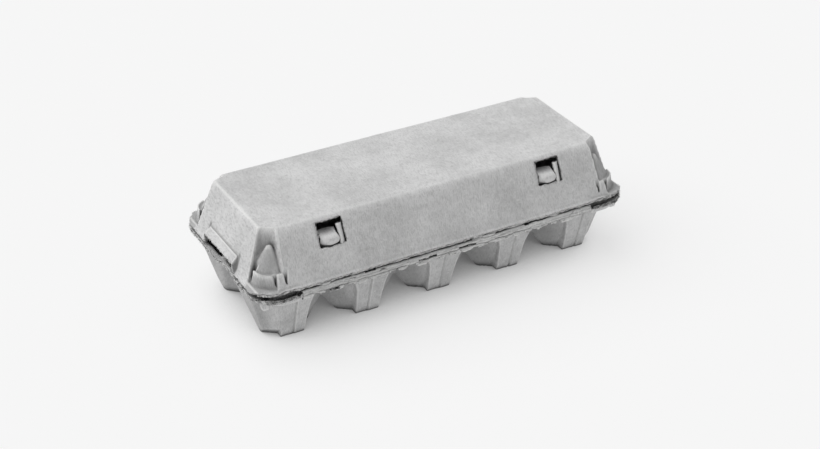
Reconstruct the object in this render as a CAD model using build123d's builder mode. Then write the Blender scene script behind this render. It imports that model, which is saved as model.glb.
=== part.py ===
"""Moulded-pulp egg carton for two rows of cups, closed and latched.

The tray carries the cups, the posts between them and a flat rim. The lid turns on a crease along the
rear rim. A lock flap turns on a crease along the front rim, stands inside the lid's front wall and
carries two buttons that sit in the lid's two windows.

Millimetres, +X along the rows to the right, +Y to the rear hinge, +Z up. The origin is on the ground
under the middle of the carton.
"""

from build123d import *
from math import cos, hypot, radians, tan
import os

os.makedirs("parts", exist_ok=True)

# ---------------------------------------------------------------- driving dimensions
# The pulp
PULP = 1.8  # thickness of every moulded wall
RUNNING_GAP = 0.3  # between faces that move past each other

# Cups
CUPS_PER_ROW = 5
CUP_PITCH = 48.5  # cup to cup along a row
ROW_SPACING = 52.0  # cup to cup across the two rows
CUP_FOOT_RADIUS = 14.5  # flat bottom that a cup stands on
CUP_SADDLE_HEIGHT = 13.0  # where neighbours meet and the low flare turns steeper
CUP_MOUTH_TO_POST = 2.65  # from a cup's mouth, at the rim's underside, to the axis of the nearest post
CUP_END_REACH = 15.0  # end cup's axis to the end wall, at the ground
CUP_SIDE_REACH = 11.1  # cup axis to the long wall, at the ground
TRAY_DRAFT = 15.4  # degrees that the tray's walls lean out

# Posts between four cups
POST_RADIUS = 6.0
POST_TOP_RADIUS = 3.5
POST_FOOT_HEIGHT = 22.0
POST_SHOULDER_HEIGHT = 31.0
POST_HEIGHT = 43.0

# Tray rim
RIM_UNDERSIDE = 35.6
RIM_THICKNESS = 2.0
RIM_SIDE_OVERHANG = 7.6
RIM_END_OVERHANG = 2.7
RIM_CORNER_RADIUS = 13.0

# Creases that the lid and the flap turn on
CREASE_RADIUS = 1.0

# Lid
LID_RISE = 29.8  # from the foot of the lid's walls to its top
LID_STEP = 4.2  # height of the lid's outer rim strip
LID_RIM_INSET = 2.2  # the walls' foot, in from the rim's outer edge
LID_SIDE_DRAFT = 25.8  # degrees
LID_END_DRAFT = 18.9  # degrees
LID_FOOT_RADIUS = 12.0  # rounding of the wall corners, low down
LID_TOP_RADIUS = 8.0
LID_FRONT_LIFT = 2.6  # how far the lid's front rim stays above its end rims

# Corner recesses in the lid
RECESS_LENGTH = 18.2  # along the long wall, from the foot's corner
RECESS_WIDTH = 19.1  # along the end wall, from the foot's corner
RECESS_TOP_CUT = 0.5  # how far the back of the recess stays inside the top panel's edges
RECESS_LEDGE = 7.7  # ledge height above the foot of the walls

# Windows for the two buttons
WINDOW_SPACING = 3 * CUP_PITCH  # centre to centre
WINDOW_WIDTH = 16.5
WINDOW_SILL = 14.5  # sill above the foot of the walls

# Finger hoods at both ends of the lid
HOOD_WIDTH = 42.6
HOOD_RIDGE_WIDTH = 30.0
HOOD_RIDGE_RISE = 7.4  # above the foot of the walls
HOOD_SHOULDER_RISE = 2.1
HOOD_LIP_DROP = 2.5  # the lip is this much lower than the ridge
HOOD_MOUTH_CUT = 2.0  # how far the hood's hollow is cut past its lip

# Lock flap and buttons
FLAP_LENGTH = 194.0
FLAP_TOP_LENGTH = 178.0
FLAP_HEADROOM = 1.6  # under the lid's top panel
BUTTON_WIDTH = 13.0
BUTTON_HEIGHT = 8.4
BUTTON_SILL_GAP = 1.3  # from the window's sill up to the button
BUTTON_RISE = 0.8  # how far the button's upper end stands out of the flap

# ---------------------------------------------------------------- derived dimensions
CUP_SADDLE_RADIUS = CUP_PITCH / 2
CUP_MOUTH_RADIUS = hypot(CUP_PITCH, ROW_SPACING) / 2 - CUP_MOUTH_TO_POST
RIM_TOP = RIM_UNDERSIDE + RIM_THICKNESS
ROW_HALF_LENGTH = (CUPS_PER_ROW - 1) / 2 * CUP_PITCH
BASE_HALF_LENGTH = ROW_HALF_LENGTH + CUP_END_REACH
BASE_HALF_WIDTH = ROW_SPACING / 2 + CUP_SIDE_REACH
TRAY_FLARE = RIM_UNDERSIDE * tan(radians(TRAY_DRAFT))
MOUTH_HALF_LENGTH = BASE_HALF_LENGTH + TRAY_FLARE
MOUTH_HALF_WIDTH = BASE_HALF_WIDTH + TRAY_FLARE
RIM_HALF_LENGTH = MOUTH_HALF_LENGTH + RIM_END_OVERHANG
RIM_HALF_WIDTH = MOUTH_HALF_WIDTH + RIM_SIDE_OVERHANG

# The creases lie on top of the rim, flush with its outer edges.
CREASE_Y = RIM_HALF_WIDTH - CREASE_RADIUS
CREASE_Z = RIM_TOP + CREASE_RADIUS
CREASE_CLEARANCE = CREASE_RADIUS + RUNNING_GAP

LID_RIM_UNDERSIDE = RIM_TOP + RUNNING_GAP
LID_FOOT = LID_RIM_UNDERSIDE + LID_STEP
LID_TOP = LID_FOOT + LID_RISE
LID_FRONT_UNDERSIDE = LID_RIM_UNDERSIDE + LID_FRONT_LIFT
LID_FOOT_HALF_LENGTH = RIM_HALF_LENGTH - LID_RIM_INSET
LID_FOOT_HALF_WIDTH = RIM_HALF_WIDTH - LID_RIM_INSET
LID_CEILING = LID_TOP - PULP
SIDE_SLOPE = tan(radians(LID_SIDE_DRAFT))
END_SLOPE = tan(radians(LID_END_DRAFT))
SIDE_WALL_ACROSS = PULP / cos(radians(LID_SIDE_DRAFT))
END_WALL_ACROSS = PULP / cos(radians(LID_END_DRAFT))
TRAY_WALL_ACROSS = PULP / cos(radians(TRAY_DRAFT))

RECESS_X = LID_FOOT_HALF_LENGTH - RECESS_LENGTH
RECESS_Y = LID_FOOT_HALF_WIDTH - RECESS_WIDTH
LEDGE_HEIGHT = LID_FOOT + RECESS_LEDGE
SILL_HEIGHT = LID_FOOT + WINDOW_SILL
BEYOND = 20.0  # how far cutters run past what they cut


def lid_half_length(height):
    """Half the lid's outer length at a height."""
    return LID_FOOT_HALF_LENGTH - (height - LID_FOOT) * END_SLOPE


def lid_half_width(height):
    """Half the lid's outer width at a height."""
    return LID_FOOT_HALF_WIDTH - (height - LID_FOOT) * SIDE_SLOPE


def save(part, name):
    """Label one piece and write it."""
    part.label = name
    export_step(part, f"parts/{name}.step")


# ---------------------------------------------------------------- tray
def tray_block(inset):
    """The tapered block that bounds all the cups, smaller by inset on its four sides."""
    with BuildPart() as block:
        with BuildSketch(Plane.XY):
            Rectangle(2 * (BASE_HALF_LENGTH - inset), 2 * (BASE_HALF_WIDTH - inset))
        with BuildSketch(Plane.XY.offset(RIM_UNDERSIDE)):
            Rectangle(2 * (MOUTH_HALF_LENGTH - inset), 2 * (MOUTH_HALF_WIDTH - inset))
        loft(ruled=True)
    return block.part


def cup_bowl(inset, floor):
    """One cup's round flaring form about the Z axis, smaller by inset, from its floor upwards."""
    with BuildPart() as bowl:
        with BuildSketch(Plane.XZ):
            with BuildLine():
                Polyline(
                    (0, floor),
                    (CUP_FOOT_RADIUS - inset, floor),
                    (CUP_SADDLE_RADIUS - inset, CUP_SADDLE_HEIGHT),
                    (CUP_MOUTH_RADIUS - inset, RIM_UNDERSIDE),
                    (0, RIM_UNDERSIDE),
                    close=True,
                )
            make_face()
        revolve(axis=Axis.Z)
    return bowl.part


FLARE_ACROSS = PULP * hypot(CUP_SADDLE_RADIUS - CUP_FOOT_RADIUS, CUP_SADDLE_HEIGHT) / CUP_SADDLE_HEIGHT
OUTER_BLOCK = tray_block(0)
INNER_BLOCK = tray_block(TRAY_WALL_ACROSS)
OUTER_BOWL = cup_bowl(0, 0)
INNER_BOWL = cup_bowl(FLARE_ACROSS, PULP)
POST_PLACES = [((gap + 0.5) * CUP_PITCH - ROW_HALF_LENGTH, 0) for gap in range(CUPS_PER_ROW - 1)]


def cup_space(centre, block, bowl):
    """The part of a bowl standing at centre that lies inside the tapered block."""
    with BuildPart() as space:
        add(block)
        with Locations(centre):
            add(bowl, mode=Mode.INTERSECT)
    return space.part


def make_cup(place, side):
    """One cup: its bowl wall, cut flat where it meets its neighbours, and open above the saddles."""
    centre = (place * CUP_PITCH - ROW_HALF_LENGTH, side * ROW_SPACING / 2)
    reach_left = CUP_PITCH / 2 + (BEYOND if place == 0 else 0)
    reach_right = CUP_PITCH / 2 + (BEYOND if place == CUPS_PER_ROW - 1 else 0)
    cell_width = MOUTH_HALF_WIDTH + BEYOND
    cell_middle = (centre[0] + (reach_right - reach_left) / 2, side * cell_width / 2)
    with BuildPart() as cup:
        with BuildSketch(Plane.XY):
            with Locations(cell_middle):
                Rectangle(reach_left + reach_right, cell_width)
        extrude(amount=RIM_UNDERSIDE)
        add(cup_space(centre, OUTER_BLOCK, OUTER_BOWL), mode=Mode.INTERSECT)
        add(cup_space(centre, INNER_BLOCK, INNER_BOWL), mode=Mode.SUBTRACT)
        with BuildSketch(Plane.XY):
            with Locations(*POST_PLACES):
                Circle(POST_RADIUS)
        extrude(amount=RIM_UNDERSIDE, mode=Mode.SUBTRACT)
    return cup.part


for row_name, row_side in (("front", -1), ("rear", 1)):
    for cup_place in range(CUPS_PER_ROW):
        save(make_cup(cup_place, row_side), f"cup_{row_name}_{cup_place + 1}")

for post_number, post_place in enumerate(POST_PLACES, start=1):
    with BuildPart() as post:
        with BuildSketch(Plane(origin=(*post_place, 0), x_dir=(1, 0, 0), z_dir=(0, -1, 0))):
            with BuildLine():
                Polyline(
                    (POST_RADIUS - PULP, POST_FOOT_HEIGHT),
                    (POST_RADIUS, POST_FOOT_HEIGHT),
                    (POST_RADIUS, POST_SHOULDER_HEIGHT),
                    (POST_TOP_RADIUS, POST_HEIGHT),
                    (0, POST_HEIGHT),
                    (0, POST_HEIGHT - PULP),
                    (POST_TOP_RADIUS - PULP, POST_HEIGHT - PULP),
                    (POST_RADIUS - PULP, POST_SHOULDER_HEIGHT),
                    close=True,
                )
            make_face()
        revolve(axis=Axis((*post_place, 0), (0, 0, 1)))
    save(post.part, f"centre_post_{post_number}")

with BuildPart() as tray_rim:
    with BuildSketch(Plane.XY.offset(RIM_UNDERSIDE)):
        RectangleRounded(2 * RIM_HALF_LENGTH, 2 * RIM_HALF_WIDTH, RIM_CORNER_RADIUS)
        Rectangle(
            2 * (MOUTH_HALF_LENGTH - TRAY_WALL_ACROSS),
            2 * (MOUTH_HALF_WIDTH - TRAY_WALL_ACROSS),
            mode=Mode.SUBTRACT,
        )
    extrude(amount=RIM_THICKNESS)
save(tray_rim.part, "tray_rim")


def make_crease(side, length):
    """The rolled crease that lies on the rim along one long edge."""
    crease_plane = Plane(origin=(-length / 2, side * CREASE_Y, CREASE_Z), x_dir=(0, 1, 0), z_dir=(1, 0, 0))
    with BuildPart() as crease:
        with BuildSketch(crease_plane):
            Circle(CREASE_RADIUS)
        extrude(amount=length)
    return crease.part


STRAIGHT_EDGE = 2 * (RIM_HALF_LENGTH - RIM_CORNER_RADIUS)
save(make_crease(1, STRAIGHT_EDGE), "rear_crease")
save(make_crease(-1, FLAP_LENGTH), "front_crease")


# ---------------------------------------------------------------- lid
def lid_block(inset, top):
    """The lid's tapered form up to a height, its walls moved in by inset times their thickness across."""
    foot_length = 2 * (lid_half_length(LID_FOOT) - inset * END_WALL_ACROSS)
    foot_width = 2 * (lid_half_width(LID_FOOT) - inset * SIDE_WALL_ACROSS)
    top_length = 2 * (lid_half_length(top) - inset * END_WALL_ACROSS)
    top_width = 2 * (lid_half_width(top) - inset * SIDE_WALL_ACROSS)
    with BuildPart() as block:
        with BuildSketch(Plane.XY.offset(LID_FOOT)):
            RectangleRounded(foot_length, foot_width, LID_FOOT_RADIUS - inset * PULP)
        with BuildSketch(Plane.XY.offset(top)):
            RectangleRounded(top_length, top_width, LID_TOP_RADIUS - inset * PULP)
        loft(ruled=True)
    return block.part


def corner_recess(growth):
    """What the four corner recesses take out of the lid, larger by growth on every side."""
    back_x = lid_half_length(LID_TOP) - RECESS_TOP_CUT
    back_y = lid_half_width(LID_TOP) - RECESS_TOP_CUT
    far_x = RIM_HALF_LENGTH + BEYOND
    far_y = RIM_HALF_WIDTH + BEYOND
    with BuildPart() as recess:
        with BuildSketch(Plane.XY.offset(LEDGE_HEIGHT - growth)) as footprint:
            with BuildLine():
                Polyline(
                    (RECESS_X, back_y),
                    (back_x, RECESS_Y),
                    (far_x, RECESS_Y),
                    (far_x, far_y),
                    (RECESS_X, far_y),
                    close=True,
                )
            make_face()
            if growth > 0:
                offset(amount=growth, kind=Kind.INTERSECTION)
            mirror(about=Plane.YZ)
            mirror(about=Plane.XZ)
        extrude(amount=LID_TOP - LEDGE_HEIGHT + growth + BEYOND)
    return recess.part


def hood_form(thickness, length_past_lip):
    """The right-hand finger hood's form about the lid's end wall, its roof and cheeks moved in by thickness."""
    ridge_x = lid_half_length(LID_FOOT + HOOD_RIDGE_RISE)
    ridge = LID_FOOT + HOOD_RIDGE_RISE - thickness
    lip = ridge - HOOD_LIP_DROP
    slope = HOOD_LIP_DROP / (RIM_HALF_LENGTH - ridge_x)
    outer_x = RIM_HALF_LENGTH + length_past_lip
    with BuildPart() as form:
        with BuildSketch(Plane.XZ):
            with BuildLine():
                Polyline(
                    (ridge_x - BEYOND, LID_FOOT),
                    (ridge_x - BEYOND, ridge + slope * BEYOND),
                    (outer_x, lip - slope * length_past_lip),
                    (outer_x, LID_FOOT),
                    close=True,
                )
            make_face()
        extrude(amount=HOOD_WIDTH / 2, both=True)
        with BuildSketch(Plane.YZ.offset(ridge_x - BEYOND)):
            with BuildLine():
                Polyline(
                    (-HOOD_WIDTH / 2 + thickness, LID_FOOT),
                    (-HOOD_WIDTH / 2 + thickness, LID_FOOT + HOOD_SHOULDER_RISE),
                    (-HOOD_RIDGE_WIDTH / 2, LID_FOOT + HOOD_RIDGE_RISE - thickness),
                    (HOOD_RIDGE_WIDTH / 2, LID_FOOT + HOOD_RIDGE_RISE - thickness),
                    (HOOD_WIDTH / 2 - thickness, LID_FOOT + HOOD_SHOULDER_RISE),
                    (HOOD_WIDTH / 2 - thickness, LID_FOOT),
                    close=True,
                )
            make_face()
        extrude(amount=2 * BEYOND + length_past_lip, mode=Mode.INTERSECT)
    return form.part


LID_OUTSIDE = lid_block(0, LID_TOP)

with BuildPart() as lid_cavity:
    add(lid_block(1, LID_CEILING))
    add(corner_recess(PULP), mode=Mode.SUBTRACT)

with BuildPart() as lid_shell:
    add(LID_OUTSIDE)
    add(corner_recess(0), mode=Mode.SUBTRACT)
    add(lid_cavity.part, mode=Mode.SUBTRACT)

HOOD_HOLLOW = hood_form(PULP, HOOD_MOUTH_CUT)

with BuildPart() as right_hood:
    add(hood_form(0, 0))
    add(LID_OUTSIDE, mode=Mode.SUBTRACT)
    add(HOOD_HOLLOW, mode=Mode.SUBTRACT)
save(right_hood.part, "right_finger_hood")

with BuildPart() as left_hood:
    add(right_hood.part.mirror(Plane.YZ))
save(left_hood.part, "left_finger_hood")

WALL_END_X = RECESS_X - PULP
WALL_END_Y = RECESS_Y - PULP
OVER_X = RIM_HALF_LENGTH + BEYOND
OVER_Y = RIM_HALF_WIDTH + BEYOND


def lid_region(x_range, y_range, z_range):
    """What the lid's shell has inside one box."""
    lows, highs = zip(x_range, y_range, z_range)
    sizes = [high - low for low, high in zip(lows, highs)]
    with BuildPart() as region:
        with Locations(lows):
            Box(*sizes, align=(Align.MIN, Align.MIN, Align.MIN))
        add(lid_shell.part, mode=Mode.INTERSECT)
    return region.part


WALL_HEIGHTS = (LID_FOOT, LID_CEILING)
save(lid_region((-OVER_X, OVER_X), (-OVER_Y, OVER_Y), (LID_CEILING, LID_TOP + PULP)), "lid_top")
save(lid_region((-WALL_END_X, WALL_END_X), (0, OVER_Y), WALL_HEIGHTS), "lid_rear_wall")

with BuildPart() as lid_front_wall:
    add(lid_region((-WALL_END_X, WALL_END_X), (-OVER_Y, 0), WALL_HEIGHTS))
    with BuildSketch(Plane.XZ.offset(lid_half_width(LID_TOP) - BEYOND)):
        with Locations((0, (SILL_HEIGHT + LID_CEILING) / 2)):
            with GridLocations(WINDOW_SPACING, 0, 2, 1):
                Rectangle(WINDOW_WIDTH, LID_CEILING - SILL_HEIGHT)
    extrude(amount=RIM_HALF_WIDTH, mode=Mode.SUBTRACT)
save(lid_front_wall.part, "lid_front_wall")

with BuildPart() as lid_right_end:
    add(lid_region((0, OVER_X), (-WALL_END_Y, WALL_END_Y), WALL_HEIGHTS))
    add(HOOD_HOLLOW, mode=Mode.SUBTRACT)
save(lid_right_end.part, "lid_right_end")

with BuildPart() as lid_left_end:
    add(lid_right_end.part.mirror(Plane.YZ))
save(lid_left_end.part, "lid_left_end")

for x_name, x_span in (("left", (-OVER_X, -WALL_END_X)), ("right", (WALL_END_X, OVER_X))):
    for y_name, y_span in (("front", (-OVER_Y, -WALL_END_Y)), ("rear", (WALL_END_Y, OVER_Y))):
        save(lid_region(x_span, y_span, WALL_HEIGHTS), f"lid_corner_{y_name}_{x_name}")


def lid_rim_form(inset):
    """The lid's flaring rim strip, filled, its sides moved in by inset."""
    with BuildPart() as form:
        with BuildSketch(Plane.XY.offset(LID_RIM_UNDERSIDE)):
            RectangleRounded(
                2 * (RIM_HALF_LENGTH - inset), 2 * (RIM_HALF_WIDTH - inset), RIM_CORNER_RADIUS - inset
            )
        with BuildSketch(Plane.XY.offset(LID_FOOT)):
            RectangleRounded(
                2 * (LID_FOOT_HALF_LENGTH - inset), 2 * (LID_FOOT_HALF_WIDTH - inset), LID_FOOT_RADIUS - inset
            )
        loft(ruled=True)
    return form.part


FRONT_GAP_DEPTH = RIM_CORNER_RADIUS

with BuildPart() as lid_rim:
    add(lid_rim_form(0))
    add(lid_rim_form(SIDE_WALL_ACROSS), mode=Mode.SUBTRACT)
    with Locations((0, CREASE_Y - CREASE_CLEARANCE, LID_RIM_UNDERSIDE)):
        Box(2 * OVER_X, BEYOND, LID_STEP, align=(Align.CENTER, Align.MIN, Align.MIN), mode=Mode.SUBTRACT)
    with Locations((0, FRONT_GAP_DEPTH - RIM_HALF_WIDTH, LID_RIM_UNDERSIDE)):
        Box(
            2 * OVER_X,
            OVER_Y,
            LID_FRONT_LIFT,
            align=(Align.CENTER, Align.MAX, Align.MIN),
            mode=Mode.SUBTRACT,
        )
    with Locations((0, 0, LID_RIM_UNDERSIDE)):
        Box(
            2 * OVER_X,
            HOOD_WIDTH - 2 * PULP,
            LID_STEP,
            align=(Align.CENTER, Align.CENTER, Align.MIN),
            mode=Mode.SUBTRACT,
        )

for y_name, keep in (("front", Keep.BOTTOM), ("rear", Keep.TOP)):
    with BuildPart() as lid_half_rim:
        add(lid_rim.part)
        split(bisect_by=Plane(origin=(0, 0, 0), z_dir=(0, 1, 0)), keep=keep)
    save(lid_half_rim.part, f"lid_{y_name}_rim")


# ---------------------------------------------------------------- lock flap and buttons
FLAP_TOP = LID_CEILING - FLAP_HEADROOM
FLAP_FOOT_TOP = LID_FRONT_UNDERSIDE - RUNNING_GAP
BUTTON_BOTTOM = SILL_HEIGHT + BUTTON_SILL_GAP
BUTTON_TOP = BUTTON_BOTTOM + BUTTON_HEIGHT
GAP_ACROSS = RUNNING_GAP / cos(radians(LID_SIDE_DRAFT))


def flap_outer_y(height):
    """Where the flap's outer face stands at a height, just inside the lid's front wall."""
    return -lid_half_width(height) + SIDE_WALL_ACROSS + GAP_ACROSS


def flap_inner_y(height):
    """Where the flap's inner face stands at a height."""
    return flap_outer_y(height) + SIDE_WALL_ACROSS


with BuildPart() as lock_flap:
    with BuildSketch(Plane.YZ.offset(-FLAP_LENGTH / 2)):
        with BuildLine():
            Polyline(
                (CREASE_CLEARANCE - CREASE_Y, LID_RIM_UNDERSIDE),
                (CREASE_CLEARANCE - CREASE_Y, FLAP_FOOT_TOP),
                (flap_outer_y(FLAP_FOOT_TOP), FLAP_FOOT_TOP),
                (flap_outer_y(FLAP_TOP), FLAP_TOP),
                (flap_inner_y(FLAP_TOP), FLAP_TOP),
                (flap_inner_y(LID_RIM_UNDERSIDE), LID_RIM_UNDERSIDE),
                close=True,
            )
        make_face()
    extrude(amount=FLAP_LENGTH)
    with BuildSketch(Plane.XZ):
        with BuildLine():
            Polyline(
                (-FLAP_LENGTH / 2, LID_RIM_UNDERSIDE),
                (-FLAP_LENGTH / 2, LID_FOOT),
                (-FLAP_TOP_LENGTH / 2, FLAP_TOP),
                (FLAP_TOP_LENGTH / 2, FLAP_TOP),
                (FLAP_LENGTH / 2, LID_FOOT),
                (FLAP_LENGTH / 2, LID_RIM_UNDERSIDE),
                close=True,
            )
        make_face()
    extrude(amount=RIM_HALF_WIDTH, mode=Mode.INTERSECT)
    with BuildSketch(Plane.XZ):
        with Locations((0, (BUTTON_BOTTOM + BUTTON_TOP) / 2)):
            with GridLocations(WINDOW_SPACING, 0, 2, 1):
                Rectangle(BUTTON_WIDTH + 2 * RUNNING_GAP, BUTTON_HEIGHT + 2 * RUNNING_GAP)
    extrude(amount=RIM_HALF_WIDTH, mode=Mode.SUBTRACT)
save(lock_flap.part, "lock_flap")

for x_name, x_side in (("left", -1), ("right", 1)):
    with BuildPart() as button:
        with BuildSketch(Plane.YZ.offset(x_side * WINDOW_SPACING / 2 - BUTTON_WIDTH / 2)):
            with BuildLine():
                Polyline(
                    (flap_outer_y(BUTTON_BOTTOM), BUTTON_BOTTOM),
                    (flap_outer_y(BUTTON_TOP) - BUTTON_RISE, BUTTON_TOP),
                    (flap_inner_y(BUTTON_TOP), BUTTON_TOP),
                    (flap_inner_y(BUTTON_BOTTOM), BUTTON_BOTTOM),
                    close=True,
                )
            make_face()
        extrude(amount=BUTTON_WIDTH)
    save(button.part, f"lock_button_{x_name}")
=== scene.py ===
"""Looks of a closed, latched egg carton of grey moulded pulp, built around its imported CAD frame.

Sizes in this file are millimetres in the carton's own frame: +X along the rows of cups, +Y to the lid's
hinge, +Z up from the ground. Meshes are turned into metres as they are made. In the height fields, "across"
is the distance from the middle plane of the length, and "along" from that of the width.
"""

import itertools
import logging
import math
from dataclasses import dataclass
from enum import Enum
from typing import Callable, Sequence

import bpy
import numpy as np
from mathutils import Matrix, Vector

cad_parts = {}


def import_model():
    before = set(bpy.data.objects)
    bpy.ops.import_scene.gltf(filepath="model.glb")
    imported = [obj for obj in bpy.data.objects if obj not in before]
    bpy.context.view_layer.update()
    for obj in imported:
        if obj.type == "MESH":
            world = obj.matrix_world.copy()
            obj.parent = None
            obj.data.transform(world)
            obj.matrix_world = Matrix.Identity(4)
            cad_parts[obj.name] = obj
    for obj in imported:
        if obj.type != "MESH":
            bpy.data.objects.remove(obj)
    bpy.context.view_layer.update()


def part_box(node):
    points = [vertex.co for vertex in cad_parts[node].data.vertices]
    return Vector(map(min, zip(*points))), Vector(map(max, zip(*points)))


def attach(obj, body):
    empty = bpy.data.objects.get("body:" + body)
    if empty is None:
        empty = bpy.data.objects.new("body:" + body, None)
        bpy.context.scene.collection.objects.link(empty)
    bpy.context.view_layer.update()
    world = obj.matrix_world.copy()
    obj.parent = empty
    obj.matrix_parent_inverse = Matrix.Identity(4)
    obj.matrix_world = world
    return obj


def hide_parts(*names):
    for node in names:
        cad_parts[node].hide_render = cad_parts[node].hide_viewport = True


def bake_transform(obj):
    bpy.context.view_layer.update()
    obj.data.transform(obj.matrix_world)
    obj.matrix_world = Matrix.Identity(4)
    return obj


LOG = logging.getLogger("egg_carton")
MM = 0.001
Grid = np.ndarray
Colour = tuple[float, float, float]
Socket = bpy.types.NodeSocket


class Body(str, Enum):
    """The bodies that pieces ride on."""

    TRAY = "tray"
    LID = "lid"
    FLAP = "lock_flap"
    LEFT_BUTTON = "lock_button_left"
    RIGHT_BUTTON = "lock_button_right"


class Side(Enum):
    """Which way a sheet grows its thickness from the surface that is drawn."""

    ALONG_NORMAL = 1.0
    AGAINST_NORMAL = -1.0


# ---------------------------------------------------------------- numbers over a surface
def soft_min(first: Grid, second: Grid, reach: float) -> Grid:
    """Lower of two heights, rounded where they are within reach of each other."""
    share = np.clip(0.5 + 0.5 * (second - first) / reach, 0.0, 1.0)
    return second + (first - second) * share - reach * share * (1.0 - share)


def soft_max(first: Grid, second: Grid, reach: float) -> Grid:
    """Higher of two heights, rounded where they are within reach of each other."""
    return -soft_min(-first, -second, reach)


def smooth_step(low: float, high: float, value: Grid) -> Grid:
    """Smooth ramp from 0 where the value is low to 1 where it is high."""
    share = np.clip((value - low) / (high - low), 0.0, 1.0)
    return share * share * (3.0 - 2.0 * share)


def plateau(rise: tuple[float, float], fall: tuple[float, float], value: Grid) -> Grid:
    """Smooth ramp up over the first span, times a smooth ramp down over the second."""
    return smooth_step(*rise, value) * smooth_step(fall[1], fall[0], value)


def bell(value: Grid, width: float) -> Grid:
    """Bell curve that is 1 at zero."""
    return np.exp(-((value / width) ** 2))


def slant(degrees: float) -> float:
    """Tangent of an angle in degrees."""
    return math.tan(math.radians(degrees))


class PulpNoise:
    """A smooth random field in space that is the same in every run."""

    SIZE = 48

    def __init__(self, seed: int) -> None:
        """Draw the field's table.

        Args:
            seed: number that fixes the draw.
        """
        self._table = np.random.default_rng(seed).random((self.SIZE, self.SIZE, self.SIZE))

    def at(self, points: Grid, cell: Sequence[float]) -> Grid:
        """Read the field.

        Args:
            points: places in millimetres, with x, y, z last.
            cell: size of a lump along x, y and z.

        Returns:
            Values from -1 to 1, one for each place.
        """
        scaled = points / np.asarray(cell)
        low = np.floor(scaled).astype(int)
        part = scaled - low
        part = part * part * (3.0 - 2.0 * part)
        total = np.zeros(points.shape[:-1])
        for corner in itertools.product((0, 1), repeat=3):
            index = (low + corner) % self.SIZE
            weight = np.prod(np.where(np.asarray(corner) == 1, part, 1.0 - part), axis=-1)
            total += weight * self._table[index[..., 0], index[..., 1], index[..., 2]]
        return 2.0 * total - 1.0


CLOSEST_LINES = 0.12


def graded_lines(spans: Sequence[tuple[float, float]], extra: Sequence[float] = ()) -> Grid:
    """Grid lines from the middle outwards, mirrored about zero.

    Args:
        spans: (end, spacing) of each stretch, from zero outwards.
        extra: further lines to add, on either side.

    Returns:
        Sorted line positions.
    """
    lines = [0.0]
    for end, spacing in spans:
        count = max(1, round((end - lines[-1]) / spacing))
        lines.extend(np.linspace(lines[-1], end, count + 1)[1:])
    both = np.concatenate([-np.asarray(lines), lines, extra])
    both = np.unique(np.round(both, 3))
    return both[np.concatenate([[True], np.diff(both) > CLOSEST_LINES])]


# ---------------------------------------------------------------- the carton's frame
@dataclass(frozen=True)
class CartonFrame:
    """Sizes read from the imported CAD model, in millimetres."""

    rim_half_length: float
    rim_half_width: float
    rim_underside: float
    lid_foot: float
    lid_top: float
    foot_half_length: float
    foot_half_width: float
    pulp: float
    cup_pitch: float
    crease_y: float
    crease_z: float
    crease_half_length: float
    flap_half_length: float
    flap_top: float
    window_x: float

    @classmethod
    def from_cad(cls) -> "CartonFrame":
        """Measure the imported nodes."""
        names = (
            "tray_rim", "lid_front_wall", "lid_left_end", "lid_top", "cup_front_2",
            "rear_crease", "front_crease", "lock_flap", "lock_button_right",
        )
        low, high = ({name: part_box(name)[corner] / MM for name in names} for corner in (0, 1))
        return cls(
            rim_half_length=high["tray_rim"].x,
            rim_half_width=high["tray_rim"].y,
            rim_underside=low["tray_rim"].z,
            lid_foot=low["lid_front_wall"].z,
            lid_top=high["lid_top"].z,
            foot_half_length=-low["lid_left_end"].x,
            foot_half_width=-low["lid_front_wall"].y,
            pulp=high["lid_top"].z - low["lid_top"].z,
            cup_pitch=high["cup_front_2"].x - low["cup_front_2"].x,
            crease_y=(low["rear_crease"].y + high["rear_crease"].y) / 2,
            crease_z=(low["rear_crease"].z + high["rear_crease"].z) / 2,
            crease_half_length=high["rear_crease"].x,
            flap_half_length=high["front_crease"].x,
            flap_top=high["lock_flap"].z,
            window_x=(low["lock_button_right"].x + high["lock_button_right"].x) / 2,
        )


# ---------------------------------------------------------------- sheets of pulp
@dataclass(frozen=True)
class Outline:
    """A rectangle with rounded corners in plan."""

    half_length: float
    low_y: float
    high_y: float
    radius: float

    def reach(self, x: Grid, y: Grid) -> tuple[Grid, Grid, Grid]:
        """Signed distance to the outline, positive outside, and its direction.

        Args:
            x: places along x.
            y: places along y.

        Returns:
            The distance, and the x and y parts of the outward direction.
        """
        middle = (self.low_y + self.high_y) / 2
        half_width = (self.high_y - self.low_y) / 2
        over_x = np.abs(x) - (self.half_length - self.radius)
        over_y = np.abs(y - middle) - (half_width - self.radius)
        in_corner = (over_x > 0) & (over_y > 0)
        length = np.hypot(np.maximum(over_x, 0), np.maximum(over_y, 0)) + 1e-9
        distance = length + np.minimum(np.maximum(over_x, over_y), 0) - self.radius
        along_x = np.where(in_corner, over_x / length, over_x >= over_y) * np.sign(x)
        along_y = np.where(in_corner, over_y / length, over_x < over_y) * np.sign(y - middle)
        return distance, along_x, along_y


@dataclass(frozen=True)
class Rect:
    """A rectangular opening in plan."""

    low_x: float
    high_x: float
    low_y: float
    high_y: float

    def inside(self, x: Grid, y: Grid) -> Grid:
        """How far inside the opening a place is, negative outside it."""
        across = np.minimum(x - self.low_x, self.high_x - x)
        along = np.minimum(y - self.low_y, self.high_y - y)
        return np.minimum(across, along)


# Rings round a torn edge, each with its place through the thickness and its depth as a share of it.
EDGE_LAYERS = ((0.26, 0.34), (0.46, 0.02), (0.70, 0.38))
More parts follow.
